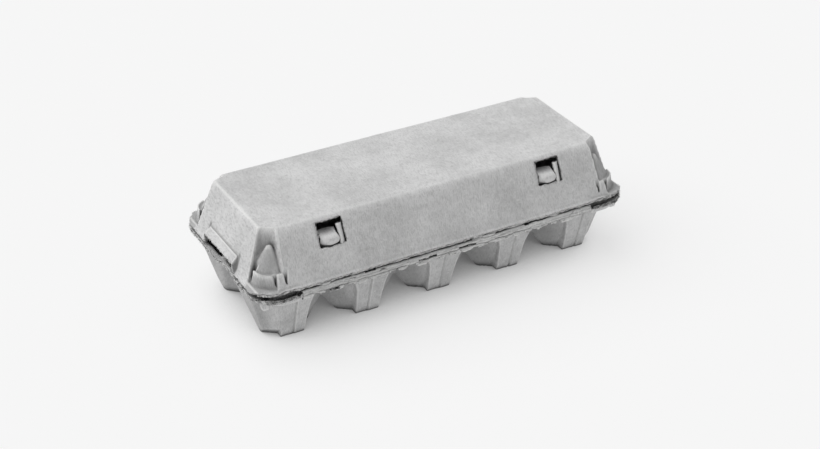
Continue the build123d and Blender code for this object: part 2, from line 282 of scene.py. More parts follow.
# Unevenness of a face, slow waves, lumps and a fine felt: size of a lump, shift of the noise, strength.
RELIEF_LAYERS = ((34.0, 0.0, 1.2), (9.0, 91.0, 0.7), (2.6, 37.0, 0.45))
BACK_SHIFT = 150.0
TEAR_SIZE = 1.3
TEAR_SHIFTS = (5, 23, 71)
LAYER_SIZE = 2.2


class PulpSheet:
    """A sheet of pulp over a grid, given its thickness, torn edges and rough faces."""

    def __init__(self, name: str, points: Grid, keep: Grid, thickness: float, side: Side) -> None:
        """Take the grid of one face of the sheet.

        Args:
            name: the piece's name.
            points: grid of places in millimetres, rows by columns by 3.
            keep: which of the grid's cells are there, rows less one by columns less one.
            thickness: the sheet's thickness.
            side: which way the thickness grows.
        """
        self.name = name
        self.points = points
        self.keep = keep
        self.thickness = thickness
        self.side = side
        self.rough = 0.10
        self.ragged = 0.35
        # How strongly the finish paints shade into each place's colour; no painted shade unless a piece sets
        # it.
        self.painted_shade_mask = np.zeros(points.shape[:2])
        self.noise = PulpNoise(sum(map(ord, name)))

    def _cells(self) -> Grid:
        """Corner numbers of the kept cells, four to a row."""
        rows, columns = self.points.shape[:2]
        number = np.arange(rows * columns).reshape(rows, columns)
        corners = [number[:-1, :-1], number[1:, :-1], number[1:, 1:], number[:-1, 1:]]
        return np.stack([corner[self.keep] for corner in corners], axis=-1)

    @staticmethod
    def _border(cells: Grid) -> Grid:
        """Directed edges that only one cell uses."""
        edges = np.concatenate([cells[:, [i, (i + 1) % 4]] for i in range(4)])
        ordered = np.sort(edges, axis=1)
        _, first, count = np.unique(ordered, axis=0, return_index=True, return_counts=True)
        return edges[first[count == 1]]

    def _normals(self) -> Grid:
        """Unit normals of the grid."""
        along_rows = np.gradient(self.points, axis=0)
        along_columns = np.gradient(self.points, axis=1)
        normals = np.cross(along_rows, along_columns)
        return normals / (np.linalg.norm(normals, axis=-1, keepdims=True) + 1e-12)

    @staticmethod
    def _ring_start(place: int, total: int) -> int:
        """Number of the first corner of one ring of the torn edge, counted from the drawn face."""
        if place == 0:
            return 0
        return total if place == len(EDGE_LAYERS) + 1 else total * (place + 1)

    def _inward(self, cells: Grid, border: Grid) -> Grid:
        """Unit direction from each border corner into the sheet, and zero elsewhere."""
        flat = self.points.reshape(-1, 3)
        middles = flat[cells].mean(axis=1)
        total = np.zeros_like(flat)
        for place in range(4):
            np.add.at(total, cells[:, place], middles - flat[cells[:, place]])
        total /= np.linalg.norm(total, axis=-1, keepdims=True) + 1e-9
        inside = np.ones(len(flat), bool)
        inside[border.ravel()] = False
        total[inside] = 0.0
        return total

    def _sharpness(self, normals: Grid) -> Grid:
        """How sharply the drawn face bends, positive over edges and negative in grooves."""
        total = np.zeros(self.points.shape[:2])
        for axis in (0, 1):
            step = np.linalg.norm(np.gradient(self.points, axis=axis), axis=-1) + 1e-6
            bend = np.gradient(normals, axis=axis) * np.gradient(self.points, axis=axis)
            total += bend.sum(axis=-1) / step**2
        return np.clip(total * self.side.value * -1.0, -1.0, 1.0).ravel()

    def _relief(self, points: Grid) -> Grid:
        """Unevenness of a face."""
        layers = (share * self.noise.at(points + shift, [size] * 3) for size, shift, share in RELIEF_LAYERS)
        return self.rough * sum(layers)

    def build(self) -> bpy.types.Object:
        """Make the piece.

        Returns:
            The new mesh object, with a "torn" attribute that is 1 on its torn edges, a "bend" attribute that
            is positive over its edges and negative in its grooves, and a third attribute that says how much
            painted shade its finish puts in each place, 1 deep in its recesses.
        """
        cells = self._cells()
        border = self._border(cells)
        on_border = np.zeros(self.points.shape[0] * self.points.shape[1], bool)
        on_border[border.ravel()] = True
        grid_normals = self._normals()
        bend = self._sharpness(grid_normals)
        normals = grid_normals.reshape(-1, 3)
        face = self.points.reshape(-1, 3)
        back = face + normals * self.thickness * self.side.value
        face = face + normals * self._relief(face)[:, None] * ~on_border[:, None]
        back = back + normals * self._relief(back + BACK_SHIFT)[:, None] * ~on_border[:, None]
        for skin, shift in ((face, 0.0), (back, 53.0)):
            tears = [self.noise.at(skin + shift + step, [TEAR_SIZE] * 3) for step in TEAR_SHIFTS]
            skin += self.ragged * np.stack(tears, -1) * on_border[:, None]
        total = len(face)
        flipped = cells[:, ::-1]
        inward = self._inward(cells, border)
        rings = [face]
        for share, depth in EDGE_LAYERS:
            ring = face + (back - face) * share
            uneven = 0.6 + 0.7 * self.noise.at(ring + 300.0 * share, [LAYER_SIZE] * 3)
            rings.append(ring + inward * (depth * self.thickness * np.maximum(uneven, 0.1))[:, None])
        rings.append(back)
        start, end = border[:, 0], border[:, 1]
        strips = []
        for place in range(len(rings) - 1):
            here, there = self._ring_start(place, total), self._ring_start(place + 1, total)
            strips.append(np.stack([end + here, start + here, start + there, end + there], -1))
        quads = np.concatenate([cells, flipped + total, *strips])
        if self.side is Side.ALONG_NORMAL:
            quads = quads[:, ::-1]
        points = np.concatenate([face, back, *rings[1:-1]])
        used, quads = np.unique(quads, return_inverse=True)
        quads = quads.reshape(-1, 4)
        mesh = bpy.data.meshes.new(self.name)
        mesh.from_pydata((points[used] * MM).tolist(), [], quads.tolist())
        smooth = np.ones(len(quads), bool)
        smooth[2 * len(cells):] = False
        mesh.polygons.foreach_set("use_smooth", smooth)
        marks = {
            "torn": np.tile(on_border, 2 + len(EDGE_LAYERS))[used],
            "bend": np.concatenate([bend, -bend, np.zeros(total * len(EDGE_LAYERS))])[used],
            "painted_shade_mask": np.tile(self.painted_shade_mask.ravel(), 2 + len(EDGE_LAYERS))[used],
        }
        for key, values in marks.items():
            mesh.attributes.new(key, "FLOAT", "POINT").data.foreach_set("value", values.astype(np.float32))
        mesh.validate()
        piece = bpy.data.objects.new(self.name, mesh)
        bpy.context.scene.collection.objects.link(piece)
        return piece


def plan_sheet(
    name: str,
    xs: Grid,
    ys: Grid,
    outline: Outline,
    holes: Sequence[Rect],
    height: Callable[[Grid, Grid], Grid],
    thickness: float,
    side: Side,
) -> PulpSheet:
    """A moulded sheet given as a height over its plan.

    Args:
        name: the piece's name.
        xs: grid lines along x.
        ys: grid lines along y.
        outline: the sheet's outer edge in plan.
        holes: openings in plan, on grid lines.
        height: height of the drawn face over the plan.
        thickness: the sheet's thickness.
        side: which way the thickness grows.

    Returns:
        The sheet, ready to build.
    """
    x, y = np.meshgrid(xs, ys, indexing="ij")
    middle_x, middle_y = np.meshgrid((xs[1:] + xs[:-1]) / 2, (ys[1:] + ys[:-1]) / 2, indexing="ij")
    keep = outline.reach(middle_x, middle_y)[0] < 0
    padded = np.pad(keep, 1)
    count = padded[1:, 1:].astype(int) + padded[1:, :-1] + padded[:-1, 1:] + padded[:-1, :-1]
    border = (count > 0) & (count < 4)
    distance, along_x, along_y = outline.reach(x, y)
    x = x - np.where(border, distance * along_x, 0.0)
    y = y - np.where(border, distance * along_y, 0.0)
    for hole in holes:
        keep &= hole.inside(middle_x, middle_y) <= 0
    return PulpSheet(name, np.stack([x, y, height(x, y)], axis=-1), keep, thickness, side)


# ---------------------------------------------------------------- finishes
def grey(value: float, warmth: float = 0.0) -> tuple[float, float, float, float]:
    """An opaque grey, with its blue lowered by the warmth."""
    return value, value, value - warmth, 1.0


class Tree:
    """Short calls for building a node tree."""

    def __init__(self, tree: bpy.types.NodeTree) -> None:
        """Hold the tree that nodes are added to."""
        self.tree = tree

    def feed(self, end: Socket, value: object) -> None:
        """Link an output to an input, or set the input to a plain value."""
        if isinstance(value, bpy.types.NodeSocket):
            self.tree.links.new(value, end)
        else:
            end.default_value = value

    def node(self, kind: str, inputs: dict | None = None, **settings: object) -> bpy.types.Node:
        """Add a node.

        Args:
            kind: the node's type name.
            inputs: sockets and values to feed to its inputs, by name or by place.
            settings: attributes to set on it.

        Returns:
            The new node.
        """
        made = self.tree.nodes.new(kind)
        for key, value in settings.items():
            setattr(made, key, value)
        for key, value in (inputs or {}).items():
            self.feed(made.inputs[key], value)
        return made

    def math(self, operation: str, first: object, second: object, clamp: bool = False) -> Socket:
        """Result of an operation on two sockets or numbers, held from 0 to 1 if it is clamped."""
        values = {0: first, 1: second}
        return self.node("ShaderNodeMath", values, operation=operation, use_clamp=clamp).outputs[0]

    def times(self, first: object, second: object, clamp: bool = False) -> Socket:
        """Product of two sockets or numbers, held from 0 to 1 if it is clamped."""
        return self.math("MULTIPLY", first, second, clamp)

    def mix(self, share: object, first: object, second: object) -> Socket:
        """Mix of two colours, by the share of the second one."""
        return self.node("ShaderNodeMix", {0: share, 6: first, 7: second}, data_type="RGBA").outputs[2]

    def noise(self, where: Socket, scale: float, detail: float, rough: float = 0.5) -> Socket:
        """Noise by its lumps per metre, its number of finer layers and their strength."""
        sizes = {"Vector": where, "Scale": scale, "Detail": detail, "Roughness": rough}
        return self.node("ShaderNodeTexNoise", sizes).outputs[0]

    def stretch(self, where: Socket, turn: Sequence[float], scale: Sequence[float]) -> Socket:
        """Coordinates turned by degrees about each axis, then stretched along each axis."""
        change = {"Vector": where, "Rotation": [math.radians(angle) for angle in turn], "Scale": scale}
        return self.node("ShaderNodeMapping", change).outputs[0]

    def ramp(self, value: Socket, low: float, high: float) -> Socket:
        """Smooth ramp from 0 at low to 1 at high."""
        span = {"Value": value, "From Min": low, "From Max": high}
        return self.node("ShaderNodeMapRange", span, interpolation_type="SMOOTHSTEP").outputs[0]

    def mark(self, name: str) -> Socket:
        """Value of a mesh attribute."""
        return self.node("ShaderNodeAttribute", attribute_name=name).outputs["Fac"]

    def openness(self, distance: float, **settings: object) -> Socket:
        """How little of the view within a distance in millimetres is blocked."""
        return self.node("ShaderNodeAmbientOcclusion", {"Distance": distance * MM}, **settings).outputs["AO"]


def make_group(name: str, family: str, inputs: dict[str, str], outputs: dict[str, str]) -> tuple:
    """Start a node group.

    Args:
        name: the group's name.
        family: Shader or Geometry.
        inputs: socket name to its type.
        outputs: socket name to its type.

    Returns:
        The tree, the sockets that bring its inputs in, and the sockets that take its outputs.
    """
    group = bpy.data.node_groups.new(name, f"{family}NodeTree")
    for way, sockets in (("INPUT", inputs), ("OUTPUT", outputs)):
        for key, kind in sockets.items():
            group.interface.new_socket(key, in_out=way, socket_type=f"NodeSocket{kind}")
    tree = Tree(group)
    return tree, tree.node("NodeGroupInput").outputs, tree.node("NodeGroupOutput").inputs


@dataclass(frozen=True)
class CloudLayer:
    """One layer of the pulp's clouds."""

    lumps_per_metre: float
    detail: float
    rough: float
    low: float
    high: float
    share: float


@dataclass
class PulpShaders:
    """The shader groups that every pulp finish shares."""

    cloud_layers: tuple[CloudLayer, ...] = (
        CloudLayer(38.0, 3.0, 0.5, 0.32, 0.70, 0.45),
        CloudLayer(230.0, 4.0, 0.6, 0.30, 0.72, 0.33),
        CloudLayer(1100.0, 3.0, 0.65, 0.30, 0.70, 0.22),
    )
    # Turns of the dark fibres in degrees, and the noise value at which each starts to show.
    fibre_turns: tuple[tuple[tuple[float, float, float], float], ...] = (
        ((20, 35, 15), 0.60),
        ((70, -25, 130), 0.58),
        ((-40, 60, 80), 0.60),
    )
    fibre_softness: float = 0.08
    dark_fibre_share: float = 0.55
    pale_fibre_share: float = 0.35
    least_roughness: float = 0.86
    roughness_spread: float = 0.10

    def __post_init__(self) -> None:
        """Build the groups once."""
        self.mottle = self._mottle()
        self.felt = self._felt()
        self.fray = self._fray()

    def _mottle(self) -> bpy.types.NodeTree:
        """Cloudy colour of pulp with dark and pale fibres in it, and near-black crack lines that paint the
        shade in open cracks.
        """
        kinds = {"Place": "Vector", "Pale": "Color", "Dark": "Color"}
        kinds |= {"Cloud": "Float", "Fleck": "Float", "Crack": "Float"}
        tree, given, result = make_group(
            "pulp_mottle", "Shader", kinds, {"Colour": "Color", "Roughness": "Float"}
        )
        place = given["Place"]
        cloud = 0.0
        for layer in self.cloud_layers:
            noise = tree.noise(place, layer.lumps_per_metre, layer.detail, layer.rough)
            fine = tree.ramp(noise, layer.low, layer.high)
            cloud = tree.math("ADD", cloud, tree.times(fine, layer.share))
        colour = tree.mix(tree.times(cloud, given["Cloud"]), given["Pale"], given["Dark"])
        # Near-black lines along x: painted shade of open cracks in the fold.
        along_fold = tree.stretch(place, (0, 0, 0), (0.11, 1.0, 1.0))
        crack = tree.ramp(tree.noise(along_fold, 1150.0, 3.0, 0.7), 0.50, 0.64)
        colour = tree.mix(tree.times(crack, given["Crack"]), colour, grey(0.05))
        fibres = 0.0
        for turn, shade in self.fibre_turns:
            bent = tree.stretch(place, turn, (1.0, 0.16, 0.16))
            line = tree.ramp(tree.noise(bent, 2300.0, 1.0), shade, shade + self.fibre_softness)
            fibres = tree.math("MAXIMUM", fibres, line)
        dark_share = tree.times(tree.times(fibres, given["Fleck"]), self.dark_fibre_share)
        colour = tree.mix(dark_share, colour, grey(0.20))
        pale_line = tree.stretch(place, (-15, 20, 55), (0.2, 1.0, 0.2))
        pale = tree.ramp(tree.noise(pale_line, 2000.0, 1.0), 0.60, 0.68)
        pale_share = tree.times(tree.times(pale, given["Fleck"]), self.pale_fibre_share)
        tree.feed(result["Colour"], tree.mix(pale_share, colour, grey(0.86, 0.01)))
        roughness = tree.math("ADD", tree.times(fine, self.roughness_spread), self.least_roughness)
        tree.feed(result["Roughness"], roughness)
        return tree.tree

    @staticmethod
    def _felt() -> bpy.types.NodeTree:
        """Height of the matted fibres: lumps, felt and single fibres."""
        tree, given, result = make_group(
            "pulp_felt", "Shader", {"Place": "Vector", "Coarse": "Float"}, {"Height": "Float"}
        )
        lumps = tree.noise(given["Place"], 320.0, 2.0)
        felt = tree.noise(given["Place"], 1500.0, 4.0, 0.65)
        bent = tree.stretch(given["Place"], (10, -30, 40), (1.0, 0.2, 0.2))
        strands = tree.noise(bent, 1900.0, 1.0)
        height = tree.math("ADD", tree.times(lumps, given["Coarse"]), tree.times(felt, 0.4))
        tree.feed(result["Height"], tree.math("ADD", height, tree.times(strands, 0.25)))
        return tree.tree

    @staticmethod
    def _fray() -> bpy.types.NodeTree:
        """Where a torn edge shows paler, loose fibre."""
        kinds = {"Place": "Vector", "Torn": "Float", "Amount": "Float"}
        tree, given, result = make_group("pulp_fray", "Shader", kinds, {"Share": "Float"})
        patch = tree.ramp(tree.noise(given["Place"], 700.0, 3.0, 0.6), 0.35, 0.62)
        share = tree.times(tree.times(given["Torn"], patch), given["Amount"], clamp=True)
        tree.feed(result["Share"], share)
        return tree.tree


@dataclass(frozen=True)
class PulpFinish:
    """One finish of moulded pulp.

    Its two greys, then how strong its clouds and fibres are, how coarse and how high its relief is in
    millimetres, how pale its torn edges are, how pale the painted highlight on its convex edges is, how dark
    the painted shade in its marked places is, how strong its near-black crack lines are, which are painted
    shade of open cracks, and how wide a crevice has to be, in millimetres, to stay clear of painted shade.
    """

    slot: str
    pale: float
    dark: float
    cloud: float
    fleck: float
    coarse: float
    relief: float
    fray: float
    edge_highlight: float
    painted_shade: float = 0.4
    crack: float = 0.0
    crevice: float = 7.0

    def _colour(self, tree: Tree, mottled: Socket, frayed: Socket) -> Socket:
        """Colour of the pulp: its mottling, its paler torn edges, a painted highlight on its convex edges,
        and painted shade in its marked places, grooves, hollows and crevices.

        Args:
            tree: the material's tree.
            mottled: the mottled colour.
            frayed: the share of loose fibre on torn edges.

        Returns:
            The colour's socket.
        """
        bend = tree.mark("bend")
        # Painted shade, near black, where the piece's mask marks it: in recesses and on shaded faces and
        # strips.
        painted_shade = tree.times(tree.mark("painted_shade_mask"), self.painted_shade, clamp=True)
        # Painted shade in grooves, where the face bends inwards.
        groove_shade = tree.times(tree.ramp(tree.times(bend, -1.0), 0.05, 0.6), 0.45, clamp=True)
        # Painted highlight along convex edges, where the face bends outwards.
        painted_highlight = tree.times(tree.ramp(bend, 0.05, 0.55), self.edge_highlight, clamp=True)
        # Painted shade where the piece itself hides its surroundings within 30 mm.
        hollow_shade = tree.ramp(tree.openness(30.0, samples=8, only_local=True), 0.95, 0.25)
        # Near-black painted shade in narrow crevices, wherever anything close hides the surroundings.
        crevice = tree.ramp(tree.openness(self.crevice, samples=8), 0.60, 0.28)
        colour = mottled
        for share, tone in (
            (painted_shade, grey(0.14)),
            (groove_shade, grey(0.26, 0.005)),
            (painted_highlight, grey(0.84, 0.01)),
            (frayed, grey(0.80, 0.01)),
            (tree.times(hollow_shade, 0.62), grey(0.10)),
            (tree.times(crevice, 0.93), grey(0.02)),
        ):
            colour = tree.mix(share, colour, tone)
        return colour

    def material(self, shaders: PulpShaders) -> bpy.types.Material:
        """Build the material.

        Args:
            shaders: the shared groups.

        Returns:
            The new material.
        """
        made = bpy.data.materials.new(f"moulded_{self.slot}")
        made.use_nodes = True
        made.node_tree.nodes.clear()
        tree = Tree(made.node_tree)
        place = {"Place": tree.node("ShaderNodeTexCoord").outputs["Object"]}
        mottling = {"Pale": grey(self.pale), "Dark": grey(self.dark)}
        mottling |= {"Cloud": self.cloud, "Fleck": self.fleck, "Crack": self.crack}
        tearing = {"Amount": self.fray, "Torn": tree.mark("torn")}
        mottle = tree.node("ShaderNodeGroup", place | mottling, node_tree=shaders.mottle)
        felt = tree.node("ShaderNodeGroup", place | {"Coarse": self.coarse}, node_tree=shaders.felt)
        fray = tree.node("ShaderNodeGroup", place | tearing, node_tree=shaders.fray)
        relief = {"Strength": 0.8, "Distance": self.relief * MM, "Height": felt.outputs["Height"]}
        surface = {
            "Base Color": self._colour(tree, mottle.outputs["Colour"], fray.outputs["Share"]),
            "Roughness": mottle.outputs["Roughness"],
            "Normal": tree.node("ShaderNodeBump", relief).outputs["Normal"],
            "Specular IOR Level": 0.18,
            "Sheen Weight": 0.12,
            "Sheen Roughness": 0.6,
        }
        shader = tree.node("ShaderNodeBsdfPrincipled", surface)
        tree.node("ShaderNodeOutputMaterial", {"Surface": shader.outputs[0]})
        return made


# In each finish, the number for the torn edges' paleness is followed by the painted edge highlight and,
# where given, the painted shade in marked places and the painted shade of the crease's cracks.
LID_FINISH = PulpFinish("lid_pulp", 0.70, 0.36, 0.62, 0.5, 0.55, 0.34, 0.7, 0.45)
TRAY_FINISH = PulpFinish("tray_pulp", 0.66, 0.32, 0.66, 0.5, 0.65, 0.36, 0.7, 0.40, crevice=10.0)
CREASE_FINISH = PulpFinish("crease_pulp", 0.66, 0.20, 0.90, 0.8, 0.95, 0.70, 0.9, 0.5, 0.0, crack=0.85)
FLAP_FINISH = PulpFinish("flap_pulp", 0.72, 0.44, 0.55, 0.5, 0.60, 0.34, 0.7, 0.35, painted_shade=0.75)


class Dresser:
    """Gives pieces their finish and hands them to the frame."""

    def __init__(self) -> None:
        """Build the shared shader groups."""
        self._shaders = PulpShaders()
        self._made: dict[str, bpy.types.Material] = {}

    def material(self, finish: PulpFinish) -> bpy.types.Material:
        """The finish's material, built the first time that it is asked for."""
        if finish.slot not in self._made:
            self._made[finish.slot] = finish.material(self._shaders)
        return self._made[finish.slot]

    def _dress(self, piece: bpy.types.Object, finish: PulpFinish, replaced: Sequence[str]) -> None:
        """Give a piece its material and hide the CAD nodes that it stands for."""
        piece.data.materials.clear()
        piece.data.materials.append(self.material(finish))
        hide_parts(*replaced)

    def ride(self, piece: bpy.types.Object, body: Body, finish: PulpFinish, replaced: Sequence[str]) -> None:
        """Dress a finished piece that moves with one body.

        Args:
            piece: the finished object.
            body: the body that it moves with.
            finish: its finish.
            replaced: CAD nodes that it stands for.
        """
        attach(piece, body.value)
        self._dress(piece, finish, replaced)
        LOG.info("%s on %s, %d faces", piece.name, body.value, len(piece.data.polygons))

    def bend(
        self,
        piece: bpy.types.Object,
        bodies: tuple[Body, Body],
        span: tuple[Vector, Vector],
        finish: PulpFinish,
        replaced: Sequence[str],
    ) -> None:
        """Dress a finished piece that lies between two bodies, with its transform baked in; it is not tied
        to either body, and the bodies are only named in the log.

        Args:
            piece: the finished object.
            bodies: the bodies at its two edges.
            span: where the bend starts and ends, in millimetres; not used.
            finish: its finish.
            replaced: CAD nodes that it stands for.
        """
        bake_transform(piece)
        self._dress(piece, finish, replaced)
        names = [body.value for body in bodies]
        LOG.info("%s between %s and %s, %d faces", piece.name, *names, len(piece.data.polygons))


@dataclass(frozen=True)
class Fibres:
    """Loose fibres that stand off a sheet's torn edges."""

    per_square_mm: float
    length: float
    seed: int
    width: float = 0.055
    spread: float = 55.0
    torn_from: float = 0.98
    shortest: float = 0.45
    longest: float = 1.25
    sides: int = 3
    # Each point of a fibre's curve, with its places along and beside the fibre as shares of its length.
    bow: tuple[tuple[str, float, float], ...] = (
        ("Start", -0.2, 0.0),
        ("Middle", 0.5, 0.28),
        ("End", 0.9, -0.1),
    )

    def _strand(self, tree: Tree, length: Socket, width: Socket) -> Socket:
        """One bent fibre as a thin tube.

        Args:
            tree: the tree that grows the fibres.
            length: the fibre's length.
            width: the fibre's radius.

        Returns:
            The tube's socket.
        """
        points = {"Resolution": self.sides}
        for key, up, aside in self.bow:
            place = {"X": tree.times(length, aside), "Z": tree.times(length, up)}
            points[key] = tree.node("ShaderNodeCombineXYZ", place).outputs[0]
        curve = tree.node("GeometryNodeCurveQuadraticBezier", points).outputs[0]
        circle = {"Resolution": self.sides, "Radius": width}
        ring = tree.node("GeometryNodeCurvePrimitiveCircle", circle, mode="RADIUS").outputs[0]
        tube = {"Curve": curve, "Profile Curve": ring, "Fill Caps": True}
        return tree.node("GeometryNodeCurveToMesh", tube).outputs[0]

    def _tree(self, paint: bpy.types.Material) -> bpy.types.NodeTree:
        """Build the tree that grows one bent fibre at each point of the torn edges."""
        kinds = {"Geometry": "Geometry", "Density": "Float", "Length": "Float"}
        kinds |= {"Width": "Float", "Spread": "Float", "Seed": "Int"}
        tree, given, result = make_group("torn_fibres", "Geometry", kinds, {"Geometry": "Geometry"})
        seed = {"Seed": given["Seed"]}
        torn = tree.node("GeometryNodeInputNamedAttribute", {"Name": "torn"}, data_type="FLOAT").outputs[0]
        limits = {"A": torn, "B": self.torn_from}
        chosen = tree.node("FunctionNodeCompare", limits, data_type="FLOAT", operation="GREATER_THAN")
        ground = {"Mesh": given["Geometry"], "Selection": chosen.outputs[0], "Density": given["Density"]}
        spots = tree.node("GeometryNodeDistributePointsOnFaces", ground | seed, distribute_method="RANDOM")
        tilts = {}
        for key, way in (("Min", -1.0), ("Max", 1.0)):
            tilt = tree.times(given["Spread"], way)
            corner = tree.node("ShaderNodeCombineXYZ", {"X": tilt, "Y": tilt, "Z": way * math.pi})
            tilts[key] = corner.outputs[0]
        lean = tree.node("FunctionNodeRandomValue", tilts | seed, data_type="FLOAT_VECTOR").outputs[0]
        turned = {0: spots.outputs["Rotation"], 1: lean}
        turn = tree.node("FunctionNodeRotateRotation", turned, rotation_space="LOCAL").outputs[0]
        sizes = {2: self.shortest, 3: self.longest}
        size = tree.node("FunctionNodeRandomValue", sizes | seed, data_type="FLOAT").outputs[1]
        strand = self._strand(tree, given["Length"], given["Width"])
        planted = {"Points": spots.outputs["Points"], "Instance": strand, "Rotation": turn, "Scale": size}
        grown = tree.node("GeometryNodeInstanceOnPoints", planted).outputs[0]
        real = tree.node("GeometryNodeRealizeInstances", {0: grown}).outputs[0]
        dressed = tree.node("GeometryNodeSetMaterial", {"Geometry": real, "Material": paint})
        tree.feed(result["Geometry"], dressed.outputs[0])
        return tree.tree

    def grow(self, name: str, host: bpy.types.Object, paint: bpy.types.Material) -> bpy.types.Object:
        """Grow the fibres off a piece, as a mesh of their own.

        Args:
            name: the new piece's name.
            host: the piece that they stand on.
            paint: their material.

        Returns:
            The new mesh object.
        """
        grower = bpy.data.objects.new(f"{name}_grower", host.data.copy())
        bpy.context.scene.collection.objects.link(grower)
        change = grower.modifiers.new("fibres", "NODES")
        change.node_group = self._tree(paint)
        sizes = {
            "Density": self.per_square_mm / MM**2,
            "Length": self.length * MM,
            "Width": self.width * MM,
            "Spread": math.radians(self.spread),
            "Seed": self.seed,
        }
        for item in change.node_group.interface.items_tree:
            if item.in_out == "INPUT" and item.name in sizes:
                change[item.identifier] = sizes[item.name]
        ready = grower.evaluated_get(bpy.context.evaluated_depsgraph_get())
        mesh = bpy.data.meshes.new_from_object(ready)
        grower.modifiers.remove(change)
        bpy.data.objects.remove(grower)
        mesh.name = name
        piece = bpy.data.objects.new(name, mesh)
        bpy.context.scene.collection.objects.link(piece)
        return piece


# ---------------------------------------------------------------- tray
Span = tuple[float, float]
CUP_PLACES = range(-2, 3)
SEAM_PLACES = (0.2, -0.3, 0.3, 1.0, 1.1)
SEAM_LINES = (-0.9, -0.45, 0.0, 0.45, 0.9)
PILASTER_WIDTHS = (7.2, 7.5, 7.8, 8.2, 8.7, 9.3, 10.3, 11.4, 12.6, 15.0, 18.0, 24.5)
PILASTER_HEIGHTS = (0.0, 2.0, 7.0, 12.0, 17.0, 21.0, 25.0, 28.0, 30.5, 33.5, 35.0, 36.0)


@dataclass(frozen=True)
class Facet:
    """A leaning plane: its direction in plan, where it leaves the ground and its run for a unit of rise."""

    across: float
    out: float
    start: float
    run: float

    def height(self, across: Grid, out: Grid) -> Grid:
        """Height of the plane over its plan."""
        return (self.across * across + self.out * out - self.start) / self.run


